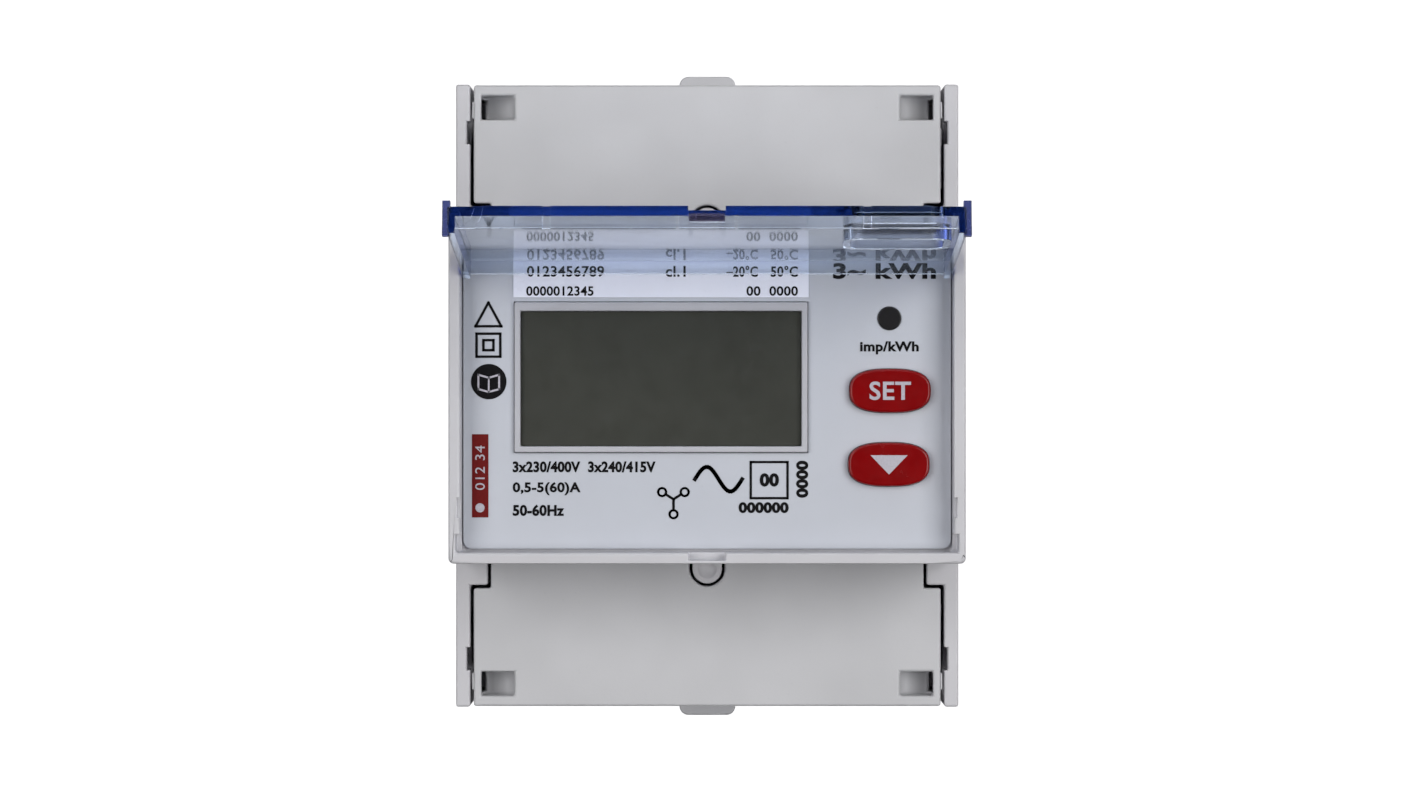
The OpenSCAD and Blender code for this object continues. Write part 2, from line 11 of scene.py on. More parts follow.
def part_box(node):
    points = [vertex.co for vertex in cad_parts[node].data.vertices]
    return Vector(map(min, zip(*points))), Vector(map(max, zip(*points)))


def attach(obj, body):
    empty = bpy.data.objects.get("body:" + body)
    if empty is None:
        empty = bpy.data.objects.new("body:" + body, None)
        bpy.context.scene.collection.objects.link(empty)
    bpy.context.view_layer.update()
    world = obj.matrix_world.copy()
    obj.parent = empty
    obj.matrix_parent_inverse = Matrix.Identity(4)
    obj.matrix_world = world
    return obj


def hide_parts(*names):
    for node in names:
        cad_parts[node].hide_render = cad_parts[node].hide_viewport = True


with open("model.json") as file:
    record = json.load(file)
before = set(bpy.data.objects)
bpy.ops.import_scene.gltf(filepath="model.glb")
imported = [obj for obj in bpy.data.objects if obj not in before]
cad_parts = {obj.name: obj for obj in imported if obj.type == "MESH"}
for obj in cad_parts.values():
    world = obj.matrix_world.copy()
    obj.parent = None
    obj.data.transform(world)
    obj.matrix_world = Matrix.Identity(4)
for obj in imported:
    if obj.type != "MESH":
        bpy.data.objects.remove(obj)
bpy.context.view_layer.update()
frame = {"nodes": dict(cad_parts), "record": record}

MM = 0.001
FACE_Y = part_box("faceplate")[0].y
BODY_OF = {n: b for b, ns in frame["record"]["behaviour"]["bodies"].items() for n in ns}
SLOT_OF = {s["node"]: s["material_slot"] for s in frame["record"]["subparts"]}


# ---------------------------------------------------------------- colours and materials

def linear(r, g, b):
    """sRGB steps from 0 to 255, as linear light."""
    out = []
    for step in (r, g, b):
        v = step / 255
        out.append(v / 12.92 if v <= 0.04045 else ((v + 0.055) / 1.055) ** 2.4)
    return (*out, 1.0)


def shade(colour, factor):
    """The same colour, darker or lighter."""
    return (*[min(1.0, c * factor) for c in colour[:3]], 1.0)


class Graph:
    """A small helper that adds and joins shader nodes."""

    def __init__(self, name):
        self.material = bpy.data.materials.new(name)
        self.material.use_nodes = True
        self.tree = self.material.node_tree
        self.shader = self.tree.nodes["Principled BSDF"]
        self.output = self.tree.nodes["Material Output"]
        self.coords = self.tree.nodes.new("ShaderNodeTexCoord").outputs["Object"]

    def add(self, kind, **inputs):
        """A new node with its inputs set or linked by name."""
        node = self.tree.nodes.new(kind)
        for key, value in inputs.items():
            self.plug(node.inputs[key], value)
        return node

    def plug(self, socket, value):
        """Links a socket, or sets a plain value on it."""
        if isinstance(value, bpy.types.NodeSocket):
            self.tree.links.new(value, socket)
        else:
            socket.default_value = value

    def noise(self, size_mm, detail=3.0, roughness=0.55, stretch=(1, 1, 1), seed=0.0):
        """Noise whose features are about size_mm across, moved aside by seed."""
        offset = (seed, seed * 0.7, seed * 1.3)
        mapping = self.add("ShaderNodeMapping", Vector=self.coords, Location=offset, Scale=stretch)
        node = self.add("ShaderNodeTexNoise", Vector=mapping.outputs["Vector"], Scale=1.0 / (size_mm * MM),
                        Detail=detail, Roughness=roughness)
        return node.outputs["Fac"]

    def span(self, value, low, high, start=0.3, end=0.7):
        """Goes from low to high while the value goes from start to end."""
        node = self.add("ShaderNodeMapRange", Value=value)
        node.inputs["From Min"].default_value = start
        node.inputs["From Max"].default_value = end
        node.inputs["To Min"].default_value = low
        node.inputs["To Max"].default_value = high
        return node.outputs["Result"]

    def blend(self, fac, a, b):
        """Colour a where fac is 0 and colour b where it is 1."""
        node = self.add("ShaderNodeMix")
        node.data_type = "RGBA"
        self.plug(node.inputs["Factor"], fac)
        self.plug(node.inputs["A"], a)
        self.plug(node.inputs["B"], b)
        return node.outputs["Result"]

    def bump(self, height, distance_mm, strength=1.0, under=None):
        """Bump of the given depth, over another bump where there is one."""
        node = self.add("ShaderNodeBump", Height=height, Strength=strength, Distance=distance_mm * MM)
        if under is not None:
            self.plug(node.inputs["Normal"], under)
        return node.outputs["Normal"]

    def set(self, **inputs):
        """Sets or links the shader's own inputs, with underscores for spaces."""
        for key, value in inputs.items():
            self.plug(self.shader.inputs[key.replace("_", " ")], value)


def plastic(name, colour, roughness=0.45, grain_mm=0.35, grain_depth=0.02, drift=0.04, specular=0.4):
    """Moulded plastic: spark-eroded grain, slow drift of colour and a few handling smudges."""
    g = Graph(name)
    slow = g.noise(size_mm=14, detail=2, seed=3.0)
    body = g.blend(g.span(slow, 0, 1), shade(colour, 1 - drift), shade(colour, 1 + drift))
    specks = g.noise(size_mm=0.5, detail=2, seed=9.0)
    body = g.blend(g.span(specks, 0, 0.35, start=0.62, end=0.8), body, shade(colour, 0.88))
    smudge = g.noise(size_mm=6, detail=4, seed=5.0)
    g.set(Base_Color=body, Roughness=g.span(smudge, roughness - 0.06, roughness + 0.08))
    g.set(Specular_IOR_Level=specular)
    grain = g.noise(grain_mm, detail=4, roughness=0.6)
    waves = g.noise(size_mm=9, detail=1, seed=1.0)
    shallow = g.bump(waves, distance_mm=0.05, strength=0.3)
    g.set(Normal=g.bump(grain, grain_depth, strength=0.6, under=shallow))
    return g.material


def metal(name, colour, roughness=0.35, lines=(1, 1, 14), stain=0.12):
    """Plated or bare metal with drawn lines and a light stain."""
    g = Graph(name)
    patch = g.noise(size_mm=3, detail=5, seed=2.0)
    body = g.blend(g.span(patch, 0, 1), shade(colour, 1 - stain), shade(colour, 1.05))
    drawn = g.noise(size_mm=1.2, detail=5, roughness=0.7, stretch=lines)
    g.set(Base_Color=body, Metallic=1.0, Roughness=g.span(drawn, roughness - 0.08, roughness + 0.14))
    g.set(Normal=g.bump(drawn, distance_mm=0.012, strength=0.5))
    return g.material


def circuit_board(name):
    """Solder resist over tracks, with plated holes."""
    g = Graph(name)
    resist = linear(20, 92, 52)
    cells = g.add("ShaderNodeTexVoronoi", Vector=g.coords, Scale=330.0)
    cells.feature = "DISTANCE_TO_EDGE"
    track = g.span(cells.outputs["Distance"], 1, 0, start=0.05, end=0.09)
    body = g.blend(track, resist, shade(resist, 1.9))
    holes = g.add("ShaderNodeTexVoronoi", Vector=g.coords, Scale=250.0)
    plating = g.span(holes.outputs["Distance"], 1, 0, start=0.1, end=0.13)
    body = g.blend(plating, body, linear(196, 188, 150))
    g.set(Base_Color=body, Roughness=g.span(g.noise(size_mm=4), 0.22, 0.36))
    g.set(Normal=g.bump(track, distance_mm=0.03, strength=0.7))
    return g.material


def clear_lid(name, tint=(0.95, 0.97, 1.0, 1), haze=0.02):
    """Blue-tinted polycarbonate: the colour comes from how much of it the light crosses."""
    g = Graph(name)
    g.set(Base_Color=tint, Transmission_Weight=1.0, IOR=1.5)
    g.set(Roughness=g.span(g.noise(size_mm=5), haze, haze + 0.05))
    g.set(Normal=g.bump(g.noise(size_mm=12, detail=2), distance_mm=0.02, strength=0.25))
    depth = g.add("ShaderNodeVolumeAbsorption", Color=(0.10, 0.39, 0.79, 1), Density=105.0)
    g.tree.links.new(depth.outputs["Volume"], g.output.inputs["Volume"])
    return g.material


def grip_plastic(name, low, high):
    """Thick parts of the lid: the same blue plastic, frosted and deep in tint; on the latch nub its colours
    are darkened as painted shade.
    """
    g = Graph(name)
    body = g.blend(g.span(g.noise(size_mm=1.5), 0, 1), low, high)
    frost = g.noise(size_mm=0.4, detail=2)
    g.set(Base_Color=body, Transmission_Weight=1.0, IOR=1.5, Roughness=g.span(frost, 0.16, 0.28))
    g.set(Normal=g.bump(g.noise(size_mm=0.3), distance_mm=0.01, strength=0.4))
    return g.material


def display_glass(name):
    """Switched-off display: a dark olive field under a polished front."""
    g = Graph(name)
    dark = linear(60, 61, 56)
    film = g.noise(size_mm=9, detail=2, seed=4.0)
    body = g.blend(g.span(film, 0, 1), shade(dark, 0.93), shade(dark, 1.05))
    g.set(Base_Color=body, Roughness=g.span(g.noise(size_mm=2), 0.3, 0.42))
    g.set(Coat_Weight=0.35, Coat_Roughness=0.05, Specular_IOR_Level=0.25)
    g.set(Normal=g.bump(g.noise(size_mm=0.2, detail=2), distance_mm=0.003, strength=0.3))
    return g.material


def ink(name, colour):
    """Screen-printed ink with slightly uneven cover."""
    g = Graph(name)
    cover = g.noise(size_mm=0.25, detail=4)
    g.set(Base_Color=g.blend(g.span(cover, 0, 1), shade(colour, 0.9), shade(colour, 1.12)))
    g.set(Roughness=g.span(g.noise(size_mm=1.5, detail=2), 0.5, 0.63), Specular_IOR_Level=0.1)
    g.set(Normal=g.bump(cover, distance_mm=0.004, strength=0.4))
    return g.material


def soft_button(name, colour):
    """Silicone-coated red cap, a little paler where it is rubbed."""
    g = Graph(name)
    rub = g.noise(size_mm=3.5, detail=4, seed=6.0)
    body = g.blend(g.span(rub, 0, 1), shade(colour, 0.92), shade(colour, 1.1))
    g.set(Base_Color=body, Roughness=g.span(g.noise(size_mm=2), 0.2, 0.28))
    g.set(Coat_Weight=0.1, Coat_Roughness=0.12, Specular_IOR_Level=0.3)
    g.set(Normal=g.bump(g.noise(size_mm=0.22), distance_mm=0.008, strength=0.4))
    return g.material


MATERIALS = {
    "housing_grey": plastic("housing_grey", linear(202, 201, 205), 0.42),
    "cover_grey": plastic("cover_grey", linear(196, 196, 199), 0.45),
    "lid_clear": clear_lid("lid_clear"),
    "face_ice": plastic("face_ice", linear(191, 194, 202), 0.36, 0.18, grain_depth=0.006, drift=0.015),
    "label_white": plastic("label_white", linear(240, 242, 255), 0.3, 0.25, grain_depth=0.004, drift=0.015),
    "frame_grey": plastic("frame_grey", linear(182, 182, 188), 0.42),
    "lcd_dark": display_glass("lcd_dark"),
    "backlight_white": plastic("backlight_white", linear(232, 232, 226), 0.25),
    "contact_rubber": plastic("contact_rubber", linear(48, 48, 50), 0.7),
    "lens_black": plastic("lens_black", linear(40, 39, 40), 0.14, grain_depth=0.002, specular=0.35),
    "led_red": plastic("led_red", linear(196, 40, 36), 0.12, grain_depth=0.002),
    "button_red": soft_button("button_red", linear(126, 4, 7)),
    "black_plastic": plastic("black_plastic", linear(40, 40, 42), 0.45),
    "switch_metal": metal("switch_metal", linear(190, 190, 188), 0.34),
    "board_green": circuit_board("board_green"),
    "screw_steel": metal("screw_steel", linear(206, 204, 198), 0.3),
    "ferrite": plastic("ferrite", linear(66, 64, 66), 0.6),
    "capacitor_yellow": plastic("capacitor_yellow", linear(206, 164, 52), 0.32),
    "capacitor_sleeve": plastic("capacitor_sleeve", linear(34, 40, 82), 0.28),
    "varistor_blue": plastic("varistor_blue", linear(34, 88, 164), 0.35),
    "battery_steel": metal("battery_steel", linear(204, 204, 200), 0.26, lines=(1, 1, 1)),
    "transformer_blue": plastic("transformer_blue", linear(42, 58, 112), 0.4),
    "bar_copper": metal("bar_copper", linear(204, 126, 84), 0.34),
    "bar_tinned": metal("bar_tinned", linear(198, 198, 192), 0.38),
    "insulator_grey": plastic("insulator_grey", linear(172, 172, 177), 0.5),
    "cage_brass": metal("cage_brass", linear(210, 196, 150), 0.3),
    "aux_green": plastic("aux_green", linear(58, 132, 84), 0.4),
    "clip_grey": plastic("clip_grey", linear(212, 212, 216), 0.42),
}

# The lid's own slots: its ears, its latch nub, its side walls and the collar round the lower button; the
# nub's dark maroon is painted shade
GRIP_BLUE = grip_plastic("lid_grip", linear(60, 69, 124), linear(73, 82, 134))
# Painted shade: the latch nub is coloured dark maroon, as if it lay in shadow
NUB_PAINTED_SHADE = grip_plastic("lid_nub_painted_shade", linear(50, 42, 72), linear(60, 50, 82))
WALL_BLUE = clear_lid("lid_wall", linear(112, 127, 196), 0.08)
COLLAR_HAZE = clear_lid("lid_collar", linear(222, 225, 232), 0.14)

INK_BLACK = ink("ink_black", linear(14, 13, 15))
INK_RED = ink("ink_red", linear(106, 23, 22))
INK_LIGHT = ink("ink_light", linear(182, 178, 187))


# ---------------------------------------------------------------- pieces from the frame

def new_piece(name, mesh, body, material, replaces=()):
    """A finished piece on its body, with its material and the CAD nodes that it stands for."""
    piece = bpy.data.objects.new(name, mesh)
    bpy.context.scene.collection.objects.link(piece)
    mesh.materials.clear()
    mesh.materials.append(material)
    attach(piece, body)
    if replaces:
        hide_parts(*replaces)
    return piece


# Edges sharper than SHARP are rounded, and faces within FLAT of each other are merged first
SHARP = math.radians(28)
FLAT = math.radians(1)
WELD = 0.001 * MM
NEARLY_NOTHING = 1e-9
OUT_OF_REACH = 1.0
# Places along an edge where the room beside it is measured, and the share of it that a rounding takes
PROBES = (0.06, 0.5, 0.94)
ROUNDED_SHARE = 0.3
ROUNDING_STEPS = 3
# Part of a face's normal along an axis from which it counts as facing that way
FACING = 0.5
# Nodes whose shape needs its own handling before the rounding
NARROW_RIMS = ("front_housing",)
PIERCED_BACKS = ("top_terminal_cover", "bottom_terminal_cover", "varistors")
FLAT_SHADED = ("lid",)


def surface_widths(bm):
    """Mean width of the smooth surface that each face belongs to; sharp edges divide surfaces."""
    widths = {}
    for seed_face in bm.faces:
        if seed_face in widths:
            continue
        surface = {seed_face}
        queue = [seed_face]
        outline = 0.0
        while queue:
            for edge in queue.pop().edges:
                if edge.calc_face_angle(0) > SHARP:
                    outline += edge.calc_length()
                    continue
                for face in edge.link_faces:
                    if face not in surface:
                        surface.add(face)
                        queue.append(face)
        width = 2 * sum(face.calc_area() for face in surface) / max(outline, NEARLY_NOTHING)
        widths.update(dict.fromkeys(surface, width))
    return widths


def room_across(face, edge, sharp_edges):
    """Shortest way across a face, square to one of its sharp edges, to another sharp edge."""
    sides = [(loop, loop.vert.co, loop.link_loop_next.vert.co) for loop in face.loops]
    start, end = next((a, b) for loop, a, b in sides if loop.edge is edge)
    along = (end - start).normalized()
    inward = face.normal.cross(along)
    room = OUT_OF_REACH
    for share in PROBES:
        origin = start.lerp(end, share)
        nearest = (OUT_OF_REACH, None)
        for loop, a, b in sides:
            a_along = (a - origin).dot(along)
            b_along = (b - origin).dot(along)
            if loop.edge is edge or (a_along > 0) == (b_along > 0):
                continue
            crossing = a.lerp(b, a_along / (a_along - b_along))
            reach = (crossing - origin).dot(inward)
            if WELD < reach < nearest[0]:
                nearest = (reach, loop.edge)
        if nearest[1] in sharp_edges:
            room = min(room, nearest[0])
    return room


def moulded(node, edge_mm):
    """The node's own shape as moulded: its sharp edges are rounded by edge_mm, less on narrow steps."""
    bm = bmesh.new()
    bm.from_mesh(frame["nodes"][node].data)
    bmesh.ops.remove_doubles(bm, verts=bm.verts, dist=WELD)
    bmesh.ops.dissolve_limit(bm, angle_limit=FLAT, verts=bm.verts, edges=bm.edges)
    amount = bm.edges.layers.float.new("bevel_weight_edge")
    widths = surface_widths(bm)
    sharp_edges = {edge for edge in bm.edges if edge.calc_face_angle(0) > SHARP}
    for edge in sharp_edges:
        room = min(widths[face] for face in edge.link_faces)
        if node in NARROW_RIMS:
            room = min([room] + [room_across(face, edge, sharp_edges) for face in edge.link_faces])
        edge[amount] = min(1.0, ROUNDED_SHARE * room / (edge_mm * MM))
    if node in FLAT_SHADED:
        bmesh.ops.connect_verts_concave(bm, faces=bm.faces)
    if node in PIERCED_BACKS:
        backs = [face for face in bm.faces if face.normal.y > FACING]
        bmesh.ops.connect_verts_concave(bm, faces=backs)
    mesh = bpy.data.meshes.new(node + "_moulded")
    bm.to_mesh(mesh)
    bm.free()
    if "custom_normal" in mesh.attributes:
        mesh.attributes.remove(mesh.attributes["custom_normal"])
    slot = SLOT_OF[node]
    piece = new_piece(node + "_finish", mesh, BODY_OF[node], MATERIALS[slot], [node])
    mesh.polygons.foreach_set("use_smooth", [node not in FLAT_SHADED] * len(mesh.polygons))
    edges = piece.modifiers.new("edges", "BEVEL")
    edges.width = edge_mm * MM
    edges.segments = ROUNDING_STEPS
    edges.limit_method = "WEIGHT"
    edges.use_clamp_overlap = False
    if node not in FLAT_SHADED:
        piece.modifiers.new("normals", "WEIGHTED_NORMAL").weight = 100


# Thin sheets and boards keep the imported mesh; the rest have their edges rounded, in millimetres
AS_PACKED = (
    "faceplate", "data_label", "lcd_glass", "lcd_backlight", "zebra_strips", "display_board", "power_board",
)
EDGE_MM = {
    "rear_housing": 0.35, "front_housing": 0.5,
    "top_terminal_cover": 0.4, "bottom_terminal_cover": 0.4,
    "lid": 0.05, "lcd_frame": 0.2, "pulse_lens": 0.15,
    "prog_button": 0.4, "scroll_button": 0.4,
    "din_clip_top": 0.3, "din_clip_bottom": 0.3,
    "top_terminal_block": 0.3, "bottom_terminal_block": 0.3,
    "supply_transformer": 0.3, "current_transformers": 0.5,
    "film_capacitors": 0.4, "electrolytic_capacitors": 0.3, "varistors": 0.3,
}
DEFAULT_EDGE_MM = 0.12

for node_name, node_object in frame["nodes"].items():
    if node_name in AS_PACKED:
        node_object.data.materials.clear()
        node_object.data.materials.append(MATERIALS[SLOT_OF[node_name]])
    else:
        moulded(node_name, EDGE_MM.get(node_name, DEFAULT_EDGE_MM))


def middle(node):
    """X and Z of a node's middle, in millimetres."""
    low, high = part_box(node)
    return (low.x + high.x) / 2 / MM, (low.z + high.z) / 2 / MM


LID_MATERIALS = {"ear": GRIP_BLUE, "nub": NUB_PAINTED_SHADE, "wall": WALL_BLUE, "collar": COLLAR_HAZE}
LID_TIP_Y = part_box("lid")[0].y
# Where the open lid's parts lie, in millimetres across from the middle and back from the tip
EAR_INNER_X = 33.9
EAR_DEPTH = 4
NUB_HALF = 2.45
NUB_DEPTH = 0.8
WALL_INNER_X = 32.9
WALL_START = 0.5
COLLAR_X = middle("scroll_button")[0]
COLLAR_HALF = 7.3
COLLAR_START = 2.5
COLLAR_END = 22


def lid_part(place, normal):
    """Which part of the open lid a face belongs to, or None on the clear panel."""
    x = abs(place.x) / MM
    from_tip = (place.y - LID_TIP_Y) / MM
    from_collar = abs(place.x / MM - COLLAR_X)
    # Faces of the latch nub, which take the painted shade
    if x < NUB_HALF and from_tip < NUB_DEPTH:
        return "nub"
    if EAR_INNER_X < x and from_tip < EAR_DEPTH:
        return "ear"
    if from_collar < COLLAR_HALF and COLLAR_START < from_tip < COLLAR_END and abs(normal.z) < 0.6:
        return "collar"
    if WALL_INNER_X < x and WALL_START < from_tip and abs(normal.x) > 0.9:
        return "wall"
    return None


lid_mesh = bpy.data.objects["lid_finish"].data
for lid_material in LID_MATERIALS.values():
    lid_mesh.materials.append(lid_material)
for polygon in lid_mesh.polygons:
    part = lid_part(polygon.center, polygon.normal)
    if part:
        polygon.material_index = 1 + list(LID_MATERIALS).index(part)


# ---------------------------------------------------------------- printing on the face

# The ink stands off the face and is a thin solid; the letters' own depth is scaled to it
INK_LIFT = 0.02 * MM
INK_THICK = 0.03 * MM
HALF_DEPTH = 0.5
LETTER_SPACING = 1.05


def flat_mesh(name, loops, y):
    """Thin closed solids from outlines given as X and Z in millimetres, standing on the plane at y."""
    bm = bmesh.new()
    for loop in loops:
        front = [bm.verts.new((x * MM, y - INK_THICK, z * MM)) for x, z in loop]
        back = [bm.verts.new((x * MM, y, z * MM)) for x, z in loop]
        bm.faces.new(front)
        bm.faces.new(back[::-1])
        for i, vert in enumerate(front):
            j = (i + 1) % len(front)
            bm.faces.new((vert, back[i], back[j], front[j]))
    bmesh.ops.recalc_face_normals(bm, faces=bm.faces)
    mesh = bpy.data.meshes.new(name)
    bm.to_mesh(mesh)
    bm.free()
    return mesh


def disc(x, z, r, steps=40):
    """A circle's points."""
    return [(x + r * math.cos(2 * math.pi * i / steps), z + r * math.sin(2 * math.pi * i / steps))
            for i in range(steps)]


def rect(x0, x1, z0, z1):
    """A rectangle's corners."""
    return [(x0, z0), (x1, z0), (x1, z1), (x0, z1)]


def stroke(points, width, closed=False):
    """Quads along a line of points, a little overlapped at the corners."""
    loops = []
    pairs = list(zip(points, points[1:] + points[:1]))
    for (x0, z0), (x1, z1) in pairs if closed else pairs[:-1]:
        length = math.hypot(x1 - x0, z1 - z0)
        ux, uz = (x1 - x0) / length, (z1 - z0) / length
        h = width / 2
        ax, az, bx, bz = x0 - ux * h, z0 - uz * h, x1 + ux * h, z1 + uz * h
        loops.append([(ax - uz * h, az + ux * h), (bx - uz * h, bz + ux * h),
                      (bx + uz * h, bz - ux * h), (ax + uz * h, az - ux * h)])
    return loops


def words(name, text, left, low, width, height, y, bold=0.0, turn=0):
    """A line of generic lettering that fills the given box, as a thin raised solid."""
    curve = bpy.data.curves.new(name, "FONT")
    curve.body = text
    curve.extrude = HALF_DEPTH
    curve.offset = bold
    curve.space_character = LETTER_SPACING
    curve.resolution_u = 4
    holder = bpy.data.objects.new(name, curve)
    bpy.context.scene.collection.objects.link(holder)
    bpy.context.view_layer.update()
    mesh = bpy.data.meshes.new_from_object(holder.evaluated_get(bpy.context.evaluated_depsgraph_get()))
    bpy.data.objects.remove(holder)
    bpy.data.curves.remove(curve)
    mesh.transform(Matrix.Rotation(math.radians(turn), 4, "Z"))
    xs = [v.co.x for v in mesh.vertices]
    ys = [v.co.y for v in mesh.vertices]
    fit_x = width * MM / (max(xs) - min(xs))
    fit_z = height * MM / (max(ys) - min(ys))
    for v in mesh.vertices:
        x = left * MM + (v.co.x - min(xs)) * fit_x
        z = low * MM + (v.co.y - min(ys)) * fit_z
        v.co = (x, y - (v.co.z + HALF_DEPTH) * INK_THICK, z)
    return mesh


def joined(name, meshes):
    """One mesh from several, which are removed."""
    bm = bmesh.new()
    for mesh in meshes:
        bm.from_mesh(mesh)
        bpy.data.meshes.remove(mesh)
    out = bpy.data.meshes.new(name)
    bm.to_mesh(out)
    bm.free()
    return out


face_ink_y = FACE_Y - INK_LIFT
label_ink_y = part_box("data_label")[0].y - INK_LIFT
upper_ink_y = face_ink_y - INK_THICK - INK_LIFT

# Line widths and outlines, in millimetres from the middle of the front
LINE = 0.36
CLASS_LINE = 0.34
WAVE_LINE = 0.55
RING_LINE = 0.3
BOOK_LINE = 0.26
SPINE_LINE = 0.22
outlines = stroke([(-32.4, 9.7), (-28.8, 9.7), (-30.6, 13.0)], LINE, closed=True)
outlines += stroke(rect(-32.26, -28.94, 5.44, 8.66), LINE, closed=True)
outlines += stroke(rect(-31.3, -29.9, 6.35, 7.75), LINE, closed=True)
outlines += stroke(rect(6.1, 11.25, -14.35, -9.3), CLASS_LINE, closed=True)

WAVE_STEPS = 24
WAVE_START = (-1.7, -11.7)
WAVE_LENGTH = 6.6
WAVE_HEIGHT = 1.7
wave = []
for i in range(WAVE_STEPS + 1):
    share = i / WAVE_STEPS
    rise = WAVE_HEIGHT * math.sin(2 * math.pi * share)
    wave.append((WAVE_START[0] + WAVE_LENGTH * share, WAVE_START[1] + rise))
outlines += stroke(wave, WAVE_LINE)

STAR_CENTRE = (-4.7, -14.5)
STAR_TIPS = ((-6.3, -13.5), (-3.14, -13.5), (-4.7, -16.6))
STAR_RING = 0.55
RING_STEPS = 20
for tip in STAR_TIPS:
    share = STAR_RING / math.dist(tip, STAR_CENTRE)
    arm_end = [t + (c - t) * share for t, c in zip(tip, STAR_CENTRE)]
    outlines += stroke([STAR_CENTRE, arm_end], LINE)
    outlines += stroke(disc(*tip, STAR_RING, RING_STEPS), RING_LINE, closed=True)

# Name, text, left, low, width, height, bold and turn, in millimetres and degrees
FACE_TEXTS = [
    ("volts", "3x230/400V  3x240/415V", -27.2, -10.75, 20.0, 1.55, 0.04, 0),
    ("amps", "0,5-5(60)A", -27.2, -13.95, 9.5, 1.85, 0.035, 0),
    ("hertz", "50-60Hz", -27.2, -16.85, 7.2, 1.6, 0.04, 0),
    ("impulse", "imp/kWh", 21.4, 5.75, 8.2, 1.85, 0.035, 0),
    ("class_one", "00", 7.35, -12.75, 2.7, 1.9, 0.05, 0),
    ("code", "000000", 4.4, -16.45, 7.0, 1.55, 0.05, 0),
    ("side_code", "0000", 12.45, -14.3, 1.7, 5.2, 0.05, 90),
    ("unit", "3~ kWh", 17.6, 16.3, 14.4, 2.2, 0.04, 0),
]
# Name, text, left, low, width and height
LABEL_TEXTS = [
    ("label_type", "0123456789", -25.2, 16.6, 10.8, 1.5),
    ("label_class", "cl.1", -5.8, 16.6, 2.8, 1.5),
    ("label_cold", "–20°C", 2.7, 16.6, 4.4, 1.5),
    ("label_warm", "50°C", 8.9, 16.6, 3.8, 1.5),
    ("label_serial", "0000012345", -25.3, 13.95, 9.4, 1.35),
    ("label_date", "00  0000", 5.5, 13.95, 7.2, 1.35),
]
LABEL_BOLD = 0.022
black = [flat_mesh("outlines", outlines, face_ink_y)]
black.append(flat_mesh("page_disc", [disc(-30.55, 1.95, 2.48, 56)], face_ink_y))
for name, text, left, low, width, height, bold, turn in FACE_TEXTS:
    black.append(words(name, text, left, low, width, height, face_ink_y, bold, turn))
for name, text, left, low, width, height in LABEL_TEXTS:
    black.append(words(name, text, left, low, width, height, label_ink_y, LABEL_BOLD))
new_piece("print_black", joined("print_black", black), "meter", INK_BLACK)

tag = flat_mesh("tag", [rect(-32.9, -30.6, -17.05, -5.4)], face_ink_y)
new_piece("print_red", joined("print_red", [tag]), "meter", INK_RED)

book = [(-32.0, 0.9), (-32.0, 2.9), (-30.55, 2.5), (-29.1, 2.9), (-29.1, 0.9), (-30.55, 0.5)]
pages = stroke(book, BOOK_LINE, closed=True)
pages += stroke([(-30.55, 0.55), (-30.55, 2.45)], SPINE_LINE)
light = [flat_mesh("pages", pages, upper_ink_y)]
light.append(flat_mesh("tag_dot", [disc(-31.78, -15.7, 0.64)], upper_ink_y))
light.append(words("tag_digits", "012 34", -32.45, -13.2, 1.35, 6.2, upper_ink_y, turn=90))
new_piece("print_light", joined("print_light", light), "meter", INK_LIGHT)


# ---------------------------------------------------------------- legends on the buttons

SET_WIDTH = 5.8
SET_HEIGHT = 2.6
upper_x, upper_z = middle("prog_button")
upper_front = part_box("prog_button")[0].y - INK_LIFT
set_word = words("legend_set", "SET", upper_x - SET_WIDTH / 2, upper_z - SET_HEIGHT / 2,
                 SET_WIDTH, SET_HEIGHT, upper_front, bold=0.02)
new_piece("legend_set", set_word, "prog", INK_LIGHT)

ARROW_HALF = 2.6
ARROW_RISE = 1.3
ARROW_DROP = 1.4
lower_x, lower_z = middle("scroll_button")
arrow = [(lower_x - ARROW_HALF, lower_z + ARROW_RISE), (lower_x, lower_z - ARROW_DROP),
         (lower_x + ARROW_HALF, lower_z + ARROW_RISE)]
arrow_mesh = flat_mesh("legend_arrow", [arrow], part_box("scroll_button")[0].y - INK_LIFT)
new_piece("legend_arrow", arrow_mesh, "scroll", INK_LIGHT)


# ---------------------------------------------------------------- studio

FLOOR_Z = -1.3
FLOOR_FRONT_Y = -3.0
WALL_Y = 1.4
WALL_TOP_Z = 2.6
SWEEP_BEND = 0.6
SWEEP_HALF = 3.0
SWEEP_STEPS = 16
SWEEP_GLOW = 1.02
METER_CENTRE = Vector((0, -0.04, 0))

# Name, place, size in metres and power in watts
SOFT_BOXES = [
    ("front_right", (0.75, -1.06, 0.13), (0.75, 1.12), 12.0),
    ("front_left", (-0.75, -1.06, 0.13), (0.75, 1.12), 9.4),
    ("overhead", (0, 0.9, 0.95), (0.9, 0.7), 8.0),
    ("underneath", (0, 0.9, -0.95), (0.9, 0.7), 4.5),
    ("back_right", (0.72, 0.55, 0.12), (0.5, 0.9), 3.2),
    ("back_left", (-0.72, 0.55, 0.12), (0.5, 0.9), 2.4),
]


def studio_material():
    """Pale paper that glows a little, so it reads as evenly lit."""
    g = Graph("studio_pale")
    pale = linear(250, 250, 251)
    body = g.blend(g.span(g.noise(size_mm=200, detail=2), 0, 1), shade(pale, 0.28), shade(pale, 0.3))
    g.set(Base_Color=body, Roughness=0.9, Specular_IOR_Level=0.1)
    g.set(Emission_Color=pale, Emission_Strength=SWEEP_GLOW)
    return g.material


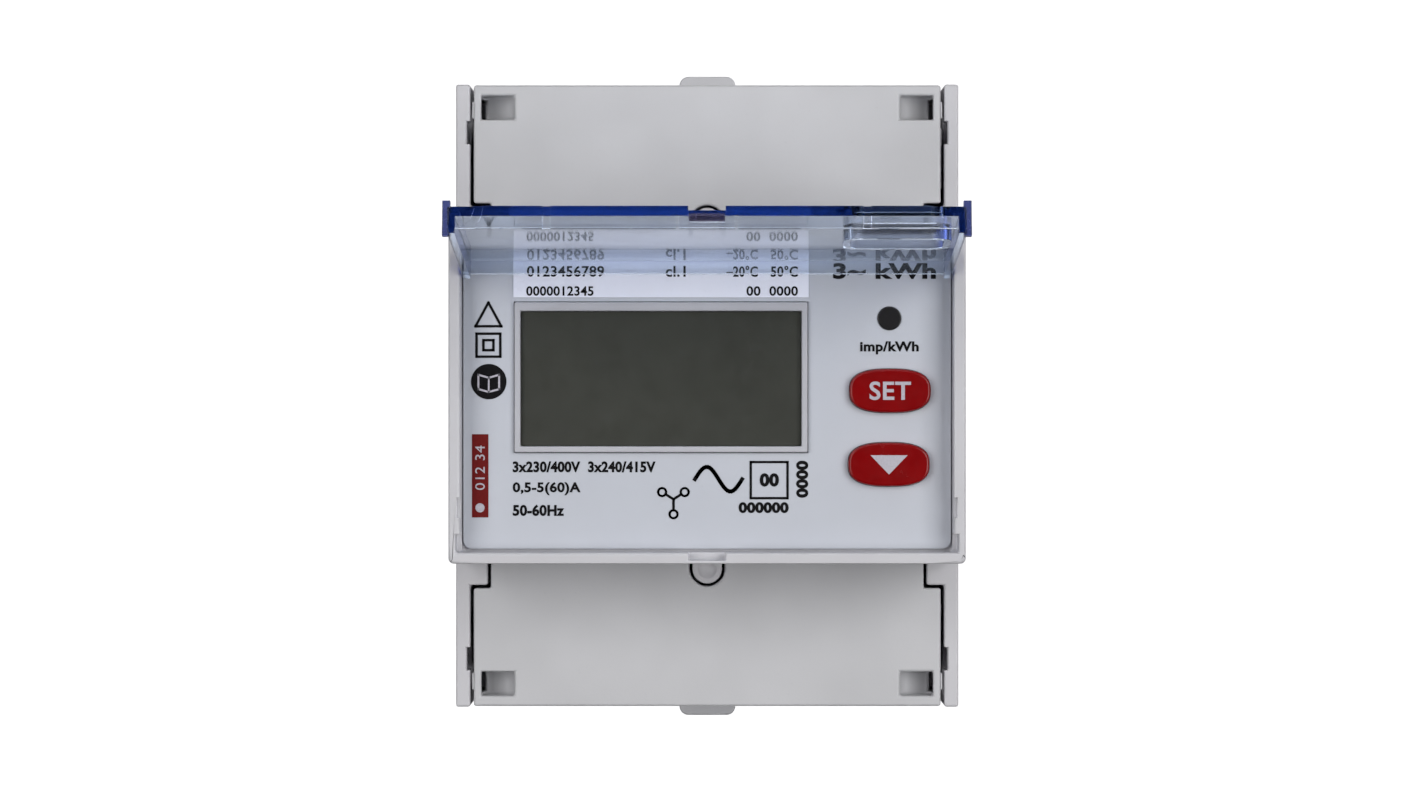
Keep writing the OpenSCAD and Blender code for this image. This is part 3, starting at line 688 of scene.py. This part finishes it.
def sweep():
    """Floor and backdrop in one curved sheet, which throws no light on the meter."""
    profile = [(FLOOR_FRONT_Y, FLOOR_Z), (WALL_Y - SWEEP_BEND, FLOOR_Z)]
    for i in range(1, SWEEP_STEPS + 1):
        a = math.pi / 2 * i / SWEEP_STEPS
        y = WALL_Y - SWEEP_BEND + SWEEP_BEND * math.sin(a)
        z = FLOOR_Z + SWEEP_BEND * (1 - math.cos(a))
        profile.append((y, z))
    profile.append((WALL_Y, WALL_TOP_Z))
    bm = bmesh.new()
    left = [bm.verts.new((-SWEEP_HALF, y, z)) for y, z in profile]
    right = [bm.verts.new((SWEEP_HALF, y, z)) for y, z in profile]
    for i in range(len(profile) - 1):
        bm.faces.new((left[i], right[i], right[i + 1], left[i + 1]))
    mesh = bpy.data.meshes.new("studio_sweep")
    bm.to_mesh(mesh)
    bm.free()
    mesh.polygons.foreach_set("use_smooth", [True] * len(mesh.polygons))
    mesh.materials.append(studio_material())
    piece = bpy.data.objects.new("studio_sweep", mesh)
    bpy.context.scene.collection.objects.link(piece)
    piece.visible_diffuse = False
    piece.visible_glossy = False


def soft_box(name, place, size, power):
    """A rectangular lamp turned to the meter and hidden from the camera."""
    data = bpy.data.lights.new(name, "AREA")
    data.shape = "RECTANGLE"
    data.size, data.size_y = size
    data.energy = power
    lamp = bpy.data.objects.new(name, data)
    lamp.location = place
    lamp.rotation_euler = (METER_CENTRE - Vector(place)).to_track_quat("-Z", "Y").to_euler()
    lamp.visible_camera = False
    bpy.context.scene.collection.objects.link(lamp)


def white_world():
    """White all round, seen only directly and through the clear lid."""
    world = bpy.data.worlds.new("studio_world")
    world.use_nodes = True
    background = world.node_tree.nodes["Background"]
    background.inputs["Color"].default_value = (1, 1, 1, 1)
    background.inputs["Strength"].default_value = 1.0
    world.cycles_visibility.diffuse = False
    world.cycles_visibility.glossy = False
    bpy.context.scene.world = world


sweep()
white_world()
for box in SOFT_BOXES:
    soft_box(*box)

view = bpy.data.cameras.new("photo_view")
view.sensor_width = 36
view.lens = 113.25
camera = bpy.data.objects.new("photo_view", view)
camera.location = (0.0004, -0.684, -0.00048)
camera.rotation_euler = (math.pi / 2, 0, 0)
bpy.context.scene.collection.objects.link(camera)
bpy.context.scene.camera = camera
bpy.context.scene.view_settings.view_transform = "Standard"
